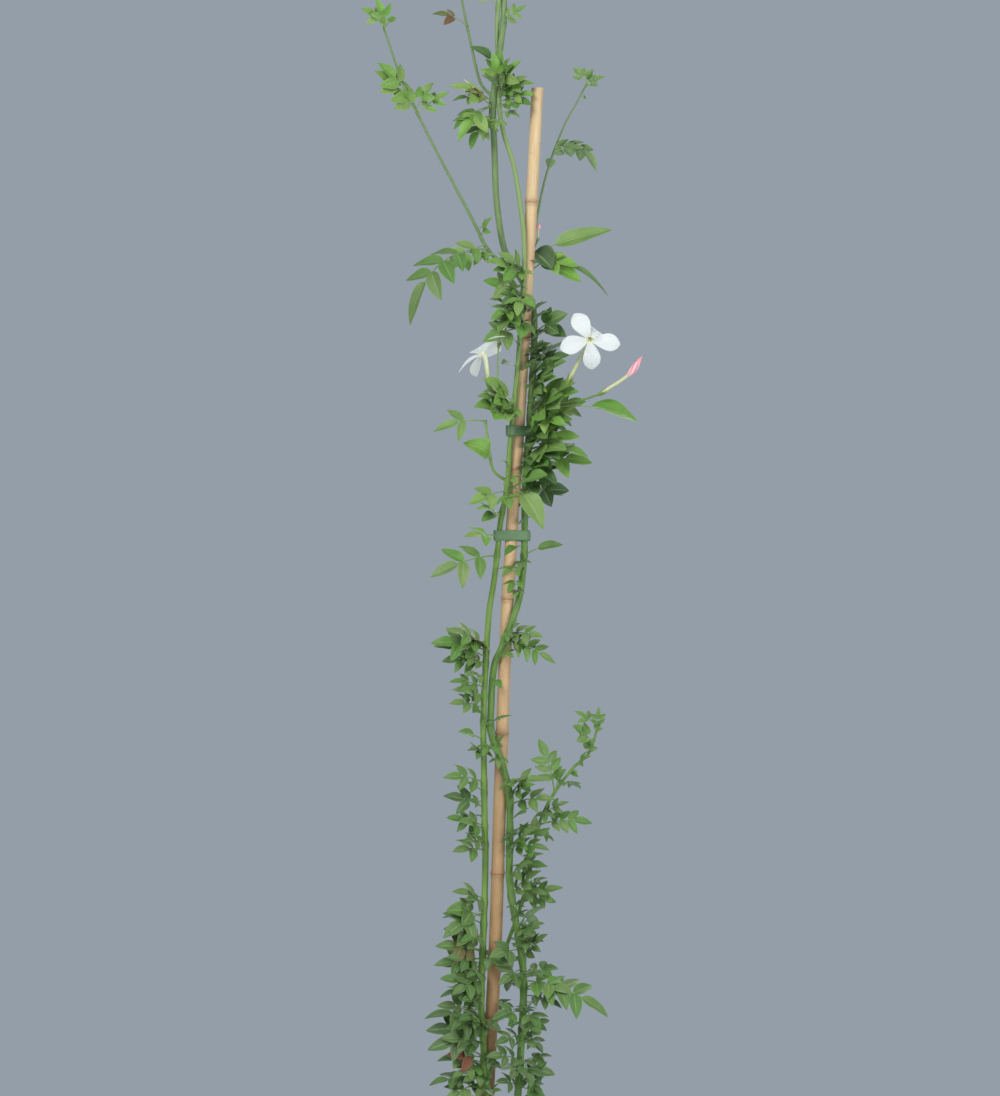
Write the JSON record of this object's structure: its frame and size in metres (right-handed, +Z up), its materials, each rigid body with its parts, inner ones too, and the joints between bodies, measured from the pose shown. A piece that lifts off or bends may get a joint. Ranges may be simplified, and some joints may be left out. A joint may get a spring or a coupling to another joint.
{
  "type": "potted spanish jasmine",
  "caption": "Climbing jasmine in a round nursery pot, tied up a tall bamboo cane, with pinnate leaves, star-shaped white flowers and a pink bud.",
  "frame": {"origin": "centre of the pot's underside, where the pot stands on its surface", "axes": "+Z up the plant, the front seen looking along +Y, +X to the right"},
  "size_m": [0.1902, 0.17, 1.03],
  "materials": {
    "pot_plastic": "matte",
    "compost": "matte",
    "bamboo": "satin",
    "foliage": "satin",
    "petal": "matte",
    "bud": "matte",
    "tie_tape": "satin"
  },
  "bodies": {
    "root": {"pot": "pot_plastic", "compost": "compost", "cane": "bamboo", "right_stem": "foliage", "left_stem": "foliage", "low_stem": "foliage", "right_flower": "petal", "left_flower": "petal", "bud": "bud", "tie_1": "tie_tape", "tie_2": "tie_tape"}
  },
  "joints": []
}
